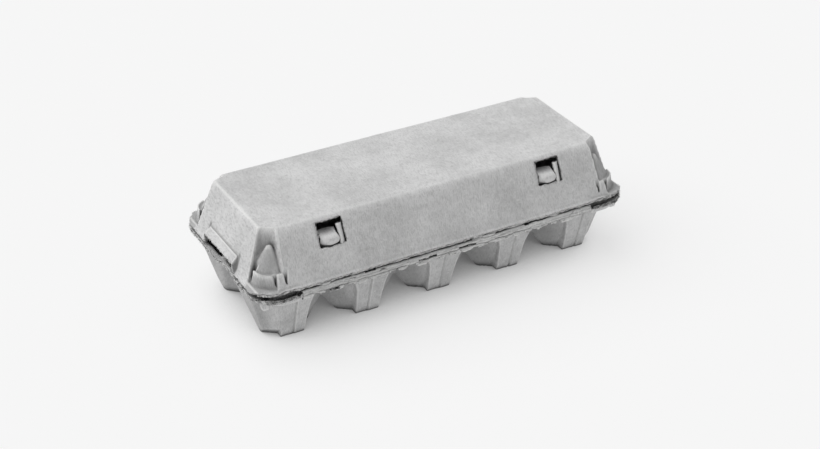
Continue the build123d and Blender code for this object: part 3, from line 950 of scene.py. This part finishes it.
@dataclass
class Tray:
    """The lower half: ten cups, the posts between them and the flat rim."""

    frame: CartonFrame
    row_spacing: float = 52.0
    side_reach: float = 11.1
    end_reach: float = 15.0
    inner_reach: float = 12.0
    draft: float = 15.4
    saddle_height: float = 13.0
    saddle_rounding: float = 2.4
    post_height: float = 41.2
    corner_radius: float = 13.0
    facet: Facet = Facet(0.58, 0.81, 9.2, 0.374)
    end_corner: Facet = Facet(0.707, 0.707, 13.6, 0.30)
    end_scoop: Facet = Facet(0.58, 0.81, 9.3, 0.80)
    inner_corner: Facet = Facet(0.707, -0.707, 12.0, 0.56)
    foot_drop: float = 0.3
    least_height: float = 0.16
    nub: tuple[float, float] = (117.3, 47.3)
    nub_radius: float = 2.3
    nub_foot: float = 29.6
    sag_across: tuple[Span, Span] = ((95.5, 99.0), (108.0, 119.0))
    sag_ahead: tuple[Span, Span] = ((46.5, 49.0), (52.6, 54.4))
    sag_depth: float = 3.6
    lip_ahead: Span = (50.0, 54.0)
    lip_depth: float = 0.4
    notch_ahead: tuple[Span, Span] = ((-3.0, 5.0), (17.0, 23.0))
    notch_left: Span = (116.5, 119.0)
    notch_rise: float = 2.3
    tuck_from: float = 50.0
    tuck_share: float = 0.62
    fibres: Fibres = Fibres(2.2, 1.1, 3)

    def _centre_x(self, x: Grid) -> Grid:
        """Position along x of the cup that a place belongs to."""
        nearest = np.clip(np.round(x / self.frame.cup_pitch), CUP_PLACES[0], CUP_PLACES[-1])
        return nearest * self.frame.cup_pitch

    def _corner_nub(self, x: Grid, y: Grid) -> Grid:
        """Height of the small half-round nub under the rim at the front corners."""
        away = np.hypot(np.abs(x) - self.nub[0], y + self.nub[1])
        return self.nub_foot + 5.0 * np.maximum(away - self.nub_radius, 0.0)

    def _pilaster(self, from_cup: Grid, out: Grid, seam: Grid) -> Grid:
        """Height of the flat panel that stands proud on each cup's outer face, with a seam down its middle.

        Args:
            from_cup: places along x from the cup's axis.
            out: places outwards from the cup's axis.
            seam: where the seam lies along x from the cup's axis.

        Returns:
            The height at each place.
        """
        past = from_cup - seam
        proud = 0.6 * smooth_step(-0.1, 0.7, past) - 1.3 * bell(past, 0.45)
        face = (out - self.side_reach - proud) / slant(self.draft)
        side = np.interp(np.abs(from_cup), PILASTER_WIDTHS, PILASTER_HEIGHTS)
        return soft_max(face, side, 3.0)

    def _bowls(self, x: Grid, y: Grid) -> Grid:
        """Height of the cups and the posts between them, as if they had no rim.

        Args:
            x: places along x.
            y: places along y.

        Returns:
            The height at each place.
        """
        pitch = self.frame.cup_pitch
        lean = slant(self.draft)
        from_cup = x - self._centre_x(x)
        is_end = (np.abs(x) > CUP_PLACES[-1] * pitch) & (np.sign(x) == np.sign(from_cup))
        across = np.abs(from_cup)
        across = np.where(is_end, across, soft_min(across, pitch - across, self.saddle_rounding))
        row_y = self.row_spacing / 2
        out = np.abs(y) - row_y
        out = np.where(out < 0, -soft_min(-out, 2 * row_y + out, self.saddle_rounding), out)

        flare = (pitch / 2 - self.end_reach) / self.saddle_height
        flank = (across - self.end_reach) / np.where(is_end, lean, flare)
        inner_slope = (row_y - self.inner_reach) / (self.saddle_height + 3.0)
        inside = soft_max(flank, (-out - self.inner_reach) / inner_slope, 3.0)
        inside = soft_max(inside, self.inner_corner.height(across, out), 5.0)
        end = soft_max(self.end_corner.height(across, out), self.end_scoop.height(across, out), 1.5)
        bowl = soft_max(inside, np.where(is_end, end, self.facet.height(across, out)), 2.5)
        bowl = soft_max(bowl, (out - self.side_reach) / lean, 2.0)
        seam = np.interp(x, [place * pitch for place in CUP_PLACES], SEAM_PLACES)
        pilaster = soft_max(self._pilaster(from_cup, out, seam), inside, 2.0)
        bowl = soft_min(bowl, pilaster, 1.6)
        bowl = soft_max(bowl, np.zeros_like(bowl), 1.2) - self.foot_drop
        return soft_min(bowl, np.full_like(bowl, self.post_height), 3.0)

    def _rim(self, x: Grid, y: Grid) -> Grid:
        """Height of the rim's underside, which sags at the front corners and is notched at the left end."""
        sag = plateau(*self.sag_across, np.abs(x)) * (y < 0)
        depth = self.sag_depth * plateau(*self.sag_ahead, -y)
        depth += self.lip_depth * smooth_step(*self.lip_ahead, -y)
        notch = plateau(*self.notch_ahead, -y) * smooth_step(*self.notch_left, -x)
        return self.frame.rim_underside + 0.15 - sag * depth + self.notch_rise * notch

    def height(self, x: Grid, y: Grid) -> Grid:
        """Height of the tray's underside over its plan.

        Args:
            x: places along x.
            y: places along y.

        Returns:
            The height at each place.
        """
        frame = self.frame
        bowl = self._bowls(x, y)
        rise = slant(self.draft) * frame.rim_underside
        wall_y = self.row_spacing / 2 + self.side_reach + rise
        wall_x = CUP_PLACES[-1] * frame.cup_pitch + self.end_reach + rise
        outside = np.maximum(np.abs(y) - wall_y + 16.0, np.abs(x) - wall_x + 2.5)
        share = smooth_step(-3.0, 3.0, outside)
        surface = bowl * (1.0 - share) + soft_min(bowl, self._rim(x, y), 2.2) * share
        surface = np.where(y < 0, np.minimum(surface, self._corner_nub(x, y)), surface)
        return np.clip(surface, self.least_height, None)

    def _grid_lines(self) -> tuple[Grid, Grid]:
        """Grid lines along x, with some on the seams and the panels' edges, and along y."""
        frame = self.frame
        steps = []
        for place, seam in zip(CUP_PLACES, SEAM_PLACES):
            middle = place * frame.cup_pitch
            steps += [middle + seam + near for near in SEAM_LINES]
            steps += [middle + side * wide for side in (-1, 1) for wide in PILASTER_WIDTHS[:9]]
        xs = graded_lines([(111.0, 1.15), (122.5, 0.55), (frame.rim_half_length, 0.5)], steps)
        return xs, graded_lines([(30.5, 1.15), (47.5, 0.55), (frame.rim_half_width, 0.75)])

    def build(self, dresser: Dresser) -> None:
        """Make the tray and hand it over.

        Args:
            dresser: what dresses it.
        """
        frame = self.frame
        xs, ys = self._grid_lines()
        outline = Outline(
            frame.rim_half_length - 0.15, 0.15 - frame.rim_half_width, frame.crease_y, self.corner_radius
        )
        sheet = plan_sheet("tray_shell", xs, ys, outline, [], self.height, frame.pulp, Side.ALONG_NORMAL)
        x, y, z = np.moveaxis(sheet.points, -1, 0)
        behind_fold = smooth_step(frame.flap_half_length + 2.0, frame.flap_half_length, np.abs(x))
        sheet.points[..., 1] = y + self.tuck_share * np.maximum(-self.tuck_from - y, 0.0) * behind_fold
        sheet.ragged = 0.45
        # Painted shade on the faces that lie in behind the cups' outer walls, below the rim: between the
        # cups and in their hollows.
        rise = slant(self.draft) * z
        behind = self.row_spacing / 2 + self.side_reach + rise - np.abs(y)
        end_behind = CUP_PLACES[-1] * frame.cup_pitch + self.end_reach + rise - np.abs(x) + 6.0
        sheet.painted_shade_mask = smooth_step(0.6, 8.0, np.minimum(behind, end_behind)) * smooth_step(35.5, 30.0, z)
        cups = [f"cup_{row}_{place}" for row in ("front", "rear") for place in range(1, 6)]
        posts = [f"centre_post_{place}" for place in range(1, 5)]
        shell = sheet.build()
        fibres = self.fibres.grow("tray_edge_fibres", shell, dresser.material(TRAY_FINISH))
        dresser.ride(shell, Body.TRAY, TRAY_FINISH, [*cups, *posts, "tray_rim"])
        dresser.ride(fibres, Body.TRAY, TRAY_FINISH, ["tray_rim"])


# ---------------------------------------------------------------- lid
WINDOW_SILL = 14.5
CONE_RADII = (0.0, 1.5, 2.7, 4.2, 6.6, 9.3, 12.0)
CONE_HEIGHTS = (63.4, 62.6, 60.8, 58.4, 54.6, 49.8, 43.0)


@dataclass
class Lid:
    """The upper half, with corner recesses, two windows and a finger hood at each end."""

    frame: CartonFrame
    side_draft: float = 25.8
    end_draft: float = 18.9
    crown_drop: float = 0.25
    shoulder: float = 7.0
    end_edge: float = 2.4
    corner_radius: float = 13.0
    window_width: float = 16.5
    ledge_rise: float = 7.7
    recess_x: float = 104.0
    recess_y: float = 33.2
    recess_slope: float = 6.8
    recess_side_slope: float = 11.0
    cone_x: float = 108.6
    cone_y: float = 37.0
    lug_y: float = 38.5
    lug_radius: float = 10.8
    block_x: Span = (105.7, 110.1)
    block_end_y: float = 51.2
    skirt_slope: float = 7.0
    groove_slope: float = 9.0
    groove_depth: float = 6.4
    slot_depth: float = 6.0
    hood_ridge: float = 7.4
    hood_half_width: float = 21.3
    hood_roof_x: float = 119.7
    hood_fall: float = 0.38
    hood_curl: float = 0.09
    hood_lip_x: float = 120.6
    hood_lip: float = 0.8
    cheek_slope: float = 5.0
    lifted_across: tuple[Span, Span] = ((97.0, 100.0), (112.0, 118.0))
    fibres: Fibres = Fibres(1.8, 0.9, 5)

    @property
    def ledge(self) -> float:
        """Height of the ledge in the corner recesses."""
        return self.frame.lid_foot + self.ledge_rise

    def _recess(self, across: Grid, along: Grid) -> Grid:
        """Height of the corner recess: its leaning walls, the half cone in it, the ledge and the lug.

        Args:
            across: distances from the middle of the length.
            along: distances from the middle of the width.

        Returns:
            The height at each place.
        """
        ledge = self.ledge
        end_wall = ledge + (self.recess_y + 1.3 - along) * self.recess_slope
        side_wall = ledge + (self.recess_x + 2.4 - across) * self.recess_side_slope
        back_wall = ledge + (83.8 - 0.48 * across - 0.877 * along) * self.recess_slope
        walls = soft_max(soft_max(end_wall, side_wall, 1.0), back_wall, 1.0)
        cone = np.interp(np.hypot(across - self.cone_x, along - self.cone_y), CONE_RADII, CONE_HEIGHTS)
        lug = self.lug_radius - np.hypot(across - self.cone_x, along - self.lug_y)
        block = np.minimum(across - self.block_x[0], self.block_x[1] - across)
        block = np.minimum(block, self.block_end_y - along)
        inside = np.maximum(lug, block)
        skirt = ledge + self.skirt_slope * np.minimum(inside, 0.0) + 0.6 * bell(inside - 0.5, 0.55)
        end_groove = np.maximum(np.abs(along - 35.8) - 1.8, 116.0 - across)
        lug_groove = np.maximum(np.abs(across - 110.9) - 0.7, 47.6 - along)
        beside = np.maximum(np.minimum(end_groove, lug_groove) + 0.35, 0.0)
        skirt = np.minimum(skirt, ledge - self.groove_depth + self.groove_slope * beside)
        floor = skirt + soft_max(cone - ledge, np.zeros_like(cone), 0.5)
        return soft_max(walls, floor, 0.5 + 3.0 * smooth_step(ledge, ledge + 7.0, floor))

    def _hood(self, across: Grid, along: Grid) -> Grid:
        """Height of a finger hood's roof and cheeks."""
        foot = self.frame.lid_foot
        roof = foot + self.hood_ridge - self.hood_fall * np.maximum(across - self.hood_roof_x, 0.0)
        roof -= self.hood_curl * np.maximum(across - self.hood_roof_x - 0.2, 0.0) ** 2
        roof += self.hood_lip * bell(across - self.hood_lip_x, 0.5)
        return soft_min(roof, foot - 3.0 + (self.hood_half_width - along) * self.cheek_slope, 0.3)

    def _sunk_by(self, surface: Grid, across: Grid, along: Grid) -> Grid:
        """How far the corner recesses go below the lid's plain walls."""
        in_corner = (across > self.recess_x - 3.0) & (along > self.recess_y - 3.0)
        recessed = soft_min(surface, self._recess(across, along), 0.6)
        beside_block = np.maximum(np.abs(across - 104.8) - 0.7, 48.2 - along)
        slot = self.ledge - self.slot_depth + self.groove_slope * np.maximum(beside_block + 0.3, 0.0)
        return np.where(in_corner, surface - np.minimum(recessed, slot), 0.0)

    def _walls(self, across: Grid, along: Grid) -> Grid:
        """Height of the lid's top and walls, as if it had no recesses, hoods or flange."""
        frame = self.frame
        top = frame.lid_top - self.crown_drop + 0.22 * bell(across - 110.0, 1.6)
        side = frame.lid_foot + (frame.foot_half_width - along) / slant(self.side_draft)
        end = frame.lid_foot + (frame.foot_half_length - across) / slant(self.end_draft)
        return soft_min(soft_min(top, side, self.shoulder), end, self.end_edge)

    def height(self, x: Grid, y: Grid) -> Grid:
        """Height of the lid's outer face over its plan.

        Args:
            x: places along x.
            y: places along y.

        Returns:
            The height at each place.
        """
        frame = self.frame
        across, along = np.abs(x), np.abs(y)
        surface = self._walls(across, along)
        surface = surface - self._sunk_by(surface, across, along)
        past_end = np.maximum(across - frame.foot_half_length, 0.0)
        past_side = np.maximum(along - frame.foot_half_width, 0.0)
        lifted = plateau(*self.lifted_across, across) * (y < 0)
        flange = frame.lid_foot + 0.25 - 1.15 * past_end - (0.55 - 0.40 * lifted) * past_side
        surface = soft_max(surface, flange, 0.9)
        return soft_max(surface, self._hood(across, along), 0.4)

    def _wall_y(self, rise: float) -> float:
        """Distance from the middle of the long wall's outer face at a height above its foot."""
        return self.frame.foot_half_width - rise * slant(self.side_draft)

    def windows(self) -> list[Rect]:
        """The two windows in plan."""
        half = self.window_width / 2
        sill = self._wall_y(WINDOW_SILL)
        head = self._wall_y(self.frame.lid_top - self.frame.lid_foot - 0.6)
        places = (-self.frame.window_x, self.frame.window_x)
        return [Rect(middle - half, middle + half, -sill, -head) for middle in places]

    def _shade(self, points: Grid) -> Grid:
        """How much painted shade each place gets: in the corner recesses, below the lugs, on the hoods'
        cheeks.
        """
        across, along, height = np.abs(points[..., 0]), np.abs(points[..., 1]), points[..., 2]
        depth = self._sunk_by(self._walls(across, along), across, along)
        cheek = plateau((19.0, 19.4), (21.5, 21.9), along) * smooth_step(118.6, 119.4, across)
        lug = smooth_step(self.ledge - 0.3, self.ledge - 1.5, height) * smooth_step(0.4, 1.6, depth)
        recess = smooth_step(1.5, 7.0, depth) * smooth_step(105.8, 107.0, across)
        return np.maximum(np.maximum(recess, 0.8 * lug), 1.6 * cheek)

    def build(self, dresser: Dresser) -> None:
        """Make the lid and hand it over.

        Args:
            dresser: what dresses it.
        """
        frame = self.frame
        windows = self.windows()
        left, right = windows[1].low_x, windows[1].high_x
        head, sill = -windows[0].high_y, -windows[0].low_y
        end, edge = frame.rim_half_length, frame.rim_half_width
        xs = graded_lines([(left, 1.4), (right, 0.9), (101.0, 1.3), (118.5, 0.6), (end, 0.42)])
        ys = graded_lines([(13.5, 1.4), (23.0, 0.6), (31.0, 1.2), (head, 0.6), (sill, 0.52), (edge, 0.56)])
        outline = Outline(end - 0.1, 0.1 - edge, frame.crease_y - 1.3, self.corner_radius)
        side = Side.AGAINST_NORMAL
        sheet = plan_sheet("lid_shell", xs, ys, outline, windows, self.height, frame.pulp, side)
        sheet.ragged = 0.48
        # Painted shade in the corner recesses, under the lugs and on the hoods' cheeks.
        sheet.painted_shade_mask = self._shade(sheet.points)
        walls = ["lid_top", "lid_front_wall", "lid_rear_wall", "lid_left_end", "lid_right_end"]
        corners = [f"lid_corner_{row}_{side}" for row in ("front", "rear") for side in ("left", "right")]
        rims = ["lid_front_rim", "lid_rear_rim"]
        hoods = ["left_finger_hood", "right_finger_hood"]
        shell = sheet.build()
        fibres = self.fibres.grow("lid_edge_fibres", shell, dresser.material(LID_FINISH))
        dresser.ride(shell, Body.LID, LID_FINISH, [*walls, *corners, *rims, *hoods])
        dresser.ride(fibres, Body.LID, LID_FINISH, rims)


# ---------------------------------------------------------------- flap, tongues and folds
@dataclass
class LockFlap:
    """The flap that stands inside the lid's front wall, with the two tongues of the lock."""

    frame: CartonFrame
    lean: float = 25.8
    foot_height: float = 40.1
    hole_foot: float = 54.6
    hole_reach: Span = (8.4, 5.0)
    head_gap: float = 2.4
    top_half_length: float = 89.0
    taper_from: float = 84.0
    lip_height: float = 0.75
    strip_depth: float = 4.2
    tongue_shift: float = -1.5
    tongue_height: float = 6.8
    tongue_half_width: float = 5.6
    tongue_flare: float = 0.9
    tongue_thickness: float = 1.3
    lobe_height: float = 1.55
    scoop_depth: float = 8.0

    def _place(self, x: Grid, rise: Grid, out: Grid) -> Grid:
        """Turn flap coordinates into places.

        Args:
            x: place along x.
            rise: height above the ground of the foot of the normal.
            out: distance outwards from the flap's outer face.

        Returns:
            Places with x, y, z last.
        """
        lean = math.radians(self.lean)
        wall = self.frame.foot_half_width - (rise - self.frame.lid_foot) * math.tan(lean)
        outer = -(wall - (self.frame.pulp + 0.3) / math.cos(lean))
        return np.stack([x, outer - out * math.cos(lean), rise + out * math.sin(lean)], axis=-1)

    def _grid(self, holes: Sequence[Span]) -> tuple[Grid, Grid]:
        """Places along x and heights of the panel's grid, finer beside the holes."""
        near = (-0.4, 0.0, 0.5, 0.9, 1.4, 1.9, 2.4, 3.0, 3.5)
        edges = [low for low, _ in holes] + [high + step for _, high in holes for step in near]
        xs = graded_lines([(self.frame.flap_half_length, 1.5)], edges)
        below = np.linspace(self.foot_height, self.hole_foot, 12)
        above = np.linspace(self.hole_foot, self.frame.flap_top - self.head_gap, 14)
        return np.meshgrid(xs, np.unique(np.concatenate([below, above])), indexing="ij")

    def _panel(self, dresser: Dresser) -> None:
        """Make the flap's panel with the holes that the tongues stand in."""
        frame = self.frame
        middles = (-frame.window_x, frame.window_x)
        holes = [(middle - self.hole_reach[0], middle + self.hole_reach[1]) for middle in middles]
        x, rise = self._grid(holes)
        narrowed = 1.0 - self.top_half_length / frame.flap_half_length
        taper = smooth_step(frame.lid_foot, frame.flap_top, rise)
        x = x * (1.0 - taper * narrowed * (np.abs(x) > self.taper_from))
        out = np.zeros_like(x)
        painted_shade_mask = np.zeros_like(x)
        beside = smooth_step(53.4, 55.4, rise)
        middle_x = (x[1:, 1:] + x[:-1, :-1]) / 2
        middle_rise = (rise[1:, 1:] + rise[:-1, :-1]) / 2
        keep = np.ones(middle_x.shape, bool)
        for low, high in holes:
            out += self.lip_height * bell(x - high - 0.5, 0.6) * beside
            out -= self.strip_depth * plateau((0.8, 2.4), (5.5, 9.0), x - high) * beside
            # Painted shade on the strip sunk beside each hole.
            painted_shade_mask += plateau((0.9, 1.5), (4.0, 5.0), x - high) * beside
            keep &= ~((middle_x > low) & (middle_x < high) & (middle_rise > self.hole_foot))
        points = self._place(x, rise, out - 0.15)
        sheet = PulpSheet("lock_flap_panel", points, keep, frame.pulp, Side.ALONG_NORMAL)
        sheet.painted_shade_mask = painted_shade_mask
        sheet.rough = 0.06
        dresser.ride(sheet.build(), Body.FLAP, FLAP_FINISH, ["lock_flap"])

    def _tongue(self, side: int, body: Body, dresser: Dresser) -> None:
        """Make one tongue: a scoop at the top, a waist and a rounded lobe on the window's sill."""
        u, t = np.meshgrid(np.linspace(-1.0, 1.0, 25), np.linspace(0.0, 1.0, 37), indexing="ij")
        rise = self.frame.lid_foot + WINDOW_SILL + 0.35 + t * self.tongue_height
        waist = 1.0 - 0.16 * bell(t - 0.52, 0.14)
        lobe = np.sqrt(np.clip(1.0 - (1.0 - np.minimum(t / 0.34, 1.0)) ** 2.4, 0.02, 1.0))
        half_width = (self.tongue_half_width + self.tongue_flare * smooth_step(0.65, 1.0, t)) * waist * lobe
        middle = side * self.frame.window_x + self.tongue_shift
        crown = 0.55 + 0.45 * (1.0 - u * u)
        out = self.lobe_height * (1.0 - smooth_step(0.38, 0.75, t)) * crown
        out -= self.scoop_depth * smooth_step(0.48, 1.1, t) * crown
        nose = 1.0 - smooth_step(0.0, 0.12, t)
        flank = 3.6 * np.maximum(-u - 0.05 - 1.3 * t, 0.0)
        points = self._place(middle + u * half_width, rise, out - nose - flank + 0.5)
        keep = np.ones((u.shape[0] - 1, u.shape[1] - 1), bool)
        word = "left" if side < 0 else "right"
        sheet = PulpSheet(f"lock_tongue_{word}", points, keep, self.tongue_thickness, Side.ALONG_NORMAL)
        sheet.rough = 0.05
        sheet.ragged = 0.15
        dresser.ride(sheet.build(), body, FLAP_FINISH, [f"lock_button_{word}"])

    def build(self, dresser: Dresser) -> None:
        """Make the flap and both tongues.

        Args:
            dresser: what dresses them.
        """
        self._panel(dresser)
        self._tongue(-1, Body.LEFT_BUTTON, dresser)
        self._tongue(1, Body.RIGHT_BUTTON, dresser)


# Places across the front fold, as the distance inwards from the rim's edge and the rise from its underside.
FRONT_PROFILE = (
    (1.8, -2.5), (0.4, -2.2), (0.15, -1.5), (0.2, -0.9), (1.9, -0.6), (1.9, 0.1), (0.3, 0.4), (0.15, 1.0),
    (1.4, 1.15), (1.4, 1.6), (0.4, 1.75), (0.6, 2.3), (2.6, 2.5), (2.8, 3.4), (1.6, 3.7), (3.4, 4.0),
)


@dataclass(frozen=True)
class Slit:
    """An open crack in the front fold."""

    low_x: float
    high_x: float
    low_z: float
    high_z: float

    def covers(self, places: Grid) -> Grid:
        """Which places the crack covers."""
        inside_x = (places[..., 0] > self.low_x) & (places[..., 0] < self.high_x)
        return inside_x & (places[..., 2] > self.low_z) & (places[..., 2] < self.high_z)


@dataclass
class Folds:
    """The two creased strips that the lid and the flap turn on."""

    frame: CartonFrame
    thickness: float = 0.8
    across_step: float = 0.34
    along_step: float = 0.75
    far: float = 60.0
    slits: tuple[Slit, ...] = (
        Slit(-83.5, -74.5, 33.8, 35.4),
        Slit(-23.0, -11.0, 36.0, 36.7),
        Slit(4.0, 15.0, 36.1, 36.8),
        Slit(49.0, 65.0, 38.0, 38.8),
        Slit(-58.0, -51.0, 38.0, 38.6),
    )

    def _strip(
        self,
        name: str,
        half_length: float,
        outline: Sequence[Span],
        seed: int,
        slits: Sequence[Slit] = (),
        fray: float = 0.0,
    ) -> bpy.types.Object:
        """A cracked strip that follows an outline across the fold.

        Args:
            name: the piece's name.
            half_length: half the strip's length.
            outline: (y, z) places across the fold.
            seed: number that makes this strip's cracks its own.
            slits: open cracks.
            fray: how deep the tears in the lower edge are.

        Returns:
            The strip's object.
        """
        path = np.asarray(outline)
        length = np.concatenate([[0.0], np.cumsum(np.hypot(*np.diff(path, axis=0).T))])
        samples = np.linspace(0.0, length[-1], round(length[-1] / self.across_step))
        xs = np.linspace(-half_length, half_length, round(2 * half_length / self.along_step))
        points = np.empty((len(xs), len(samples), 3))
        points[..., 0] = xs[:, None]
        points[..., 1:] = np.stack([np.interp(samples, length, path[:, axis]) for axis in (0, 1)], axis=-1)
        noise = PulpNoise(seed)
        wave = noise.at(points, (14.0, self.far, 2.6))
        crack = np.abs(noise.at(points + 33.0, (7.0, self.far, 0.9)))
        crumb = noise.at(points + 61.0, (1.5, self.far, 0.7))
        below_crest = np.abs(path[:, 0]).max() - np.abs(points[..., 1])
        filled = 0.30 + 0.85 * smooth_step(-0.55, 0.15, noise.at(points + 83.0, (9.0, self.far, 1.3)))
        outward = np.sign(path[0, 0])
        points[..., 1] -= outward * below_crest * (filled - 1.0)
        points[..., 1] -= outward * (0.75 * (1.0 - crack) ** 3 + 0.45 * np.maximum(crumb, 0.0))
        points[..., 2] += 0.35 * wave
        middle = (points[1:, 1:] + points[:-1, :-1]) / 2
        tears = noise.at(middle * (1.0, 0.0, 0.0) + 19.0, (3.7, 1.0, 1.0))
        keep = middle[..., 2] > path[:, 1].min() + fray * (0.7 + 1.2 * tears)
        for slit in slits:
            keep &= ~slit.covers(middle)
        sheet = PulpSheet(name, points, keep, self.thickness, Side.ALONG_NORMAL)
        sheet.rough = 0.07
        sheet.ragged = 0.3
        return sheet.build()

    def build(self, dresser: Dresser) -> None:
        """Make both folds.

        Args:
            dresser: what dresses them.
        """
        frame = self.frame
        edge, base = frame.rim_half_width, frame.rim_underside
        outline = [(inward - edge, base + rise) for inward, rise in FRONT_PROFILE]
        front = self._strip("front_fold", frame.flap_half_length, outline, 7, self.slits, 1.0)
        span = (Vector((0, -edge, base + 1.6)), Vector((0, 2.0 - edge, base + 4.4)))
        dresser.bend(front, (Body.TRAY, Body.FLAP), span, CREASE_FINISH, ["front_crease"])
        outline = [
            (edge - 3.2, frame.lid_foot + 0.2),
            (edge - 1.2, frame.lid_foot - 0.4),
            (edge - 0.3, frame.crease_z + 1.2),
            (edge - 0.25, frame.crease_z - 1.2),
            (edge - 0.9, base + 0.4),
        ]
        rear = self._strip("rear_fold", frame.crease_half_length, outline, 11)
        low, high = (Vector((0, frame.crease_y, frame.crease_z + rise)) for rise in (-0.8, 1.0))
        dresser.bend(rear, (Body.TRAY, Body.LID), (low, high), CREASE_FINISH, ["rear_crease"])


# ---------------------------------------------------------------- studio
def place_object(name: str, data: bpy.types.ID) -> bpy.types.Object:
    """Put a mesh, lamp or camera into the scene."""
    placed = bpy.data.objects.new(name, data)
    bpy.context.scene.collection.objects.link(placed)
    return placed


@dataclass
class Studio:
    """Floor, light and camera."""

    azimuth: float = -29.43
    elevation: float = 30.66
    distance: float = 931.9
    target: tuple[float, float, float] = (-7.5, -15.98, 35.96)
    lens: float = 68.54
    sensor_width: float = 36.0
    floor_half_size: float = 4000.0
    floor_grey: float = 0.31
    floor_glow: float = 0.615
    contact_reach: float = 55.0
    sky: float = 0.40
    sun: float = 2.14
    sun_angle: float = 75.0
    sun_from: tuple[float, float, float] = (-0.41, 0.28, 0.868)

    def _floor(self) -> None:
        """Lay a plain pale floor that gives off some light, less of it where the carton is near."""
        reach = self.floor_half_size * MM
        mesh = bpy.data.meshes.new("floor")
        corners = [(-reach, -reach, 0), (reach, -reach, 0), (reach, reach, 0), (-reach, reach, 0)]
        mesh.from_pydata(corners, [], [(0, 1, 2, 3)])
        paint = bpy.data.materials.new("floor_paint")
        paint.use_nodes = True
        tree = Tree(paint.node_tree)
        away = tree.ramp(tree.openness(self.contact_reach, samples=12), -0.15, 0.60)
        look = {
            "Base Color": grey(self.floor_grey),
            "Roughness": 0.9,
            "Specular IOR Level": 0.0,
            "Emission Color": grey(1.0),
            "Emission Strength": tree.times(away, self.floor_glow),
        }
        for key, value in look.items():
            tree.feed(paint.node_tree.nodes["Principled BSDF"].inputs[key], value)
        mesh.materials.append(paint)
        place_object("floor", mesh)

    def _light(self) -> None:
        """Light softly from all round, and more from above, the left and a little behind."""
        world = bpy.data.worlds.new("studio")
        world.use_nodes = True
        background = world.node_tree.nodes["Background"]
        background.inputs["Color"].default_value = grey(1.0)
        background.inputs["Strength"].default_value = self.sky
        bpy.context.scene.world = world
        lamp = bpy.data.lights.new("softbox", "SUN")
        lamp.energy = self.sun
        lamp.angle = math.radians(self.sun_angle)
        holder = place_object("softbox", lamp)
        holder.rotation_euler = Vector(self.sun_from).to_track_quat("Z", "Y").to_euler()

    def _camera(self) -> None:
        """Stand the camera."""
        turn, rise = math.radians(self.azimuth), math.radians(self.elevation)
        back = Vector((math.sin(turn) * math.cos(rise), -math.cos(turn) * math.cos(rise), math.sin(rise)))
        lens = bpy.data.cameras.new("camera")
        lens.lens = self.lens
        lens.sensor_width = self.sensor_width
        lens.clip_start = 10.0 * MM
        camera = place_object("camera", lens)
        camera.location = (Vector(self.target) + back * self.distance) * MM
        camera.rotation_euler = back.to_track_quat("Z", "Y").to_euler()
        bpy.context.scene.camera = camera

    def build(self) -> None:
        """Set up the studio."""
        self._camera()
        self._floor()
        self._light()
        bpy.context.scene.view_settings.view_transform = "Standard"


def main() -> None:
    """Build the carton's looks around its frame."""
    logging.basicConfig(level=logging.INFO, format="%(name)s: %(message)s")
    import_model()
    frame = CartonFrame.from_cad()
    Studio().build()
    dresser = Dresser()
    for part in (Tray(frame), Lid(frame), LockFlap(frame), Folds(frame)):
        part.build(dresser)


if __name__ == "__main__":
    main()
